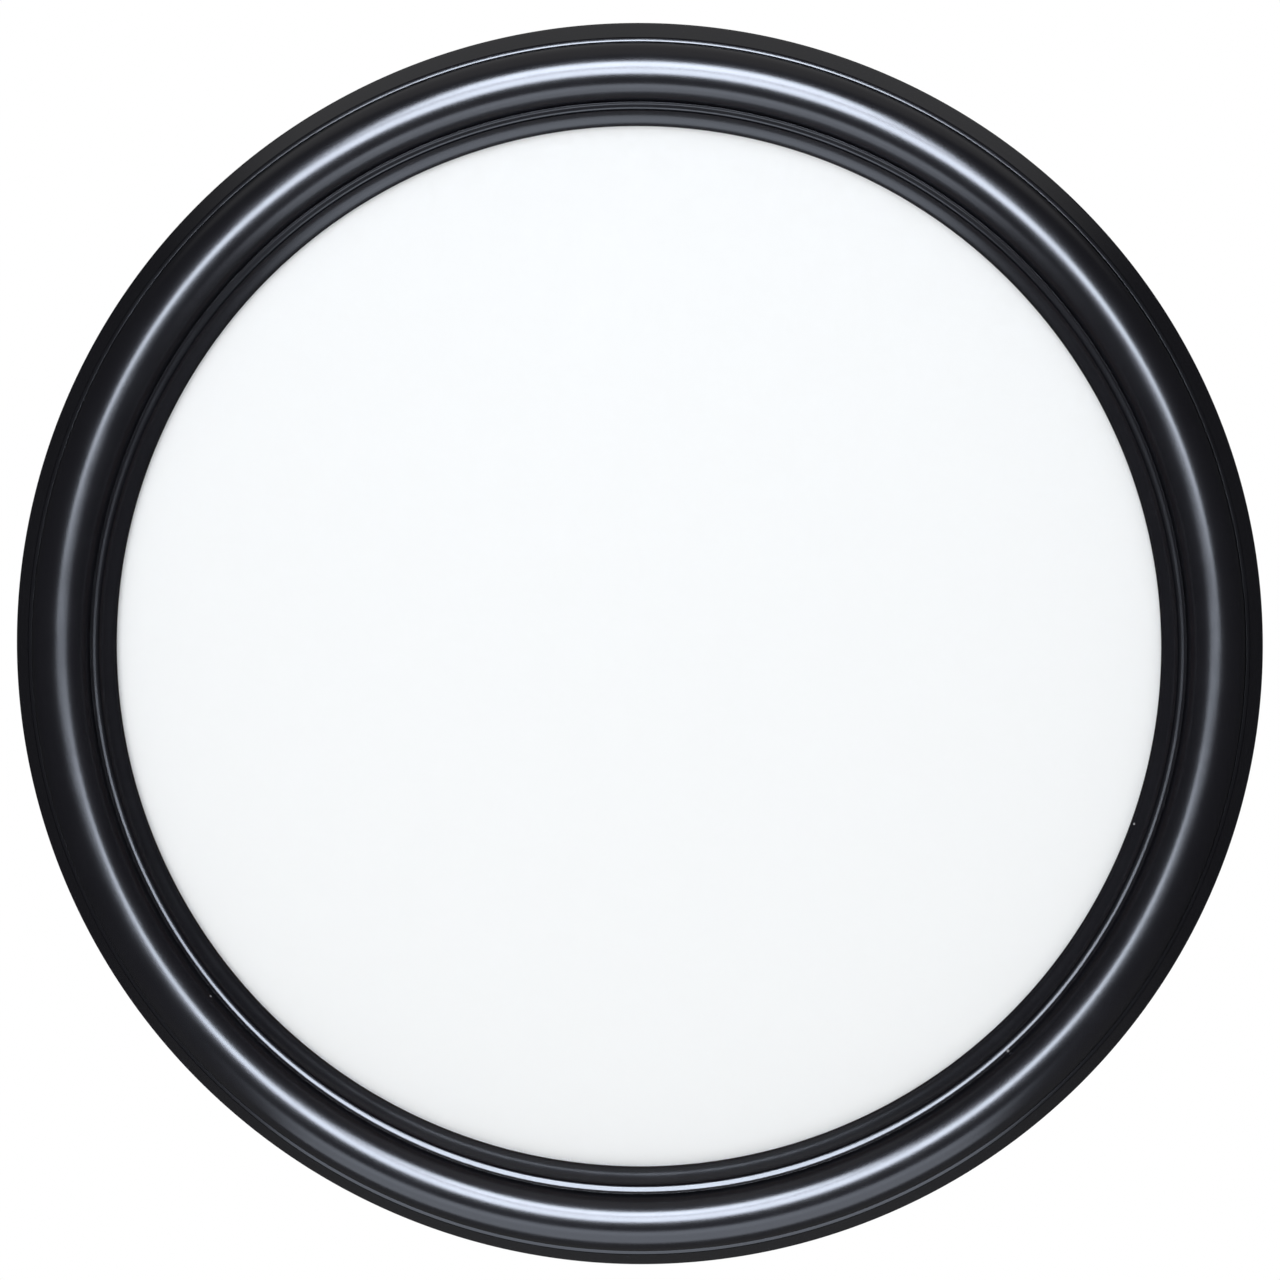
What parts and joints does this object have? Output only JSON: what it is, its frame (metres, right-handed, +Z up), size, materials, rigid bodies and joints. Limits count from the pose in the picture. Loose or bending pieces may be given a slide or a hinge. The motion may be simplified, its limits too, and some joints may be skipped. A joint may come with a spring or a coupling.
{
  "type": "round photo frame",
  "caption": "Round wall photo frame: a black lacquered, turned wooden ring with a half-round bead, holding glass, a blank insert and a backing board behind turn buttons.",
  "frame": {"origin": "the hook point: the middle notch of the sawtooth hanger, in the plane of the wall", "axes": "+Z up the wall, -Y towards the room (the frame's front faces -Y), +X to the right as seen from the room"},
  "size_m": [0.349, 0.021, 0.349],
  "materials": {
    "black_lacquered_wood": "black satin lacquer on turned hardwood",
    "beech_dowel": "bare wood",
    "clear_glass": "clear float glass",
    "white_card": "blank white card",
    "brown_hardboard": "pressed hardboard, smooth face out",
    "plated_steel": "nickel-plated sheet steel",
    "black_rubber": "matt black rubber"
  },
  "bodies": {
    "frame": {"ring_segment_1": "black_lacquered_wood", "ring_segment_2": "black_lacquered_wood", "ring_segment_3": "black_lacquered_wood", "ring_segment_4": "black_lacquered_wood", "ring_segment_5": "black_lacquered_wood", "ring_segment_6": "black_lacquered_wood", "ring_segment_7": "black_lacquered_wood", "ring_segment_8": "black_lacquered_wood", "joint_dowels": "beech_dowel", "glass_pane": "clear_glass", "photo_insert": "white_card", "backing_board": "brown_hardboard", "turn_button_screws": "plated_steel", "sawtooth_hanger": "plated_steel", "hanger_nails": "plated_steel", "wall_bumper_1": "black_rubber", "wall_bumper_2": "black_rubber"},
    "turn_button_1": {"turn_button_1": "plated_steel"},
    "turn_button_2": {"turn_button_2": "plated_steel"},
    "turn_button_3": {"turn_button_3": "plated_steel"},
    "turn_button_4": {"turn_button_4": "plated_steel"}
  },
  "joints": [
    {"name": "turn_button_1_turn", "type": "hinge", "parent": "frame", "child": "turn_button_1", "pos_m": [0.11575, -0.0025, -0.04415], "axis": [0, 1, 0], "continuous": true},
    {"name": "turn_button_2_turn", "type": "hinge", "parent": "frame", "child": "turn_button_2", "pos_m": [-0.11575, -0.0025, -0.04415], "axis": [0, 1, 0], "continuous": true},
    {"name": "turn_button_3_turn", "type": "hinge", "parent": "frame", "child": "turn_button_3", "pos_m": [-0.11575, -0.0025, -0.27565], "axis": [0, 1, 0], "continuous": true},
    {"name": "turn_button_4_turn", "type": "hinge", "parent": "frame", "child": "turn_button_4", "pos_m": [0.11575, -0.0025, -0.27565], "axis": [0, 1, 0], "continuous": true}
  ]
}
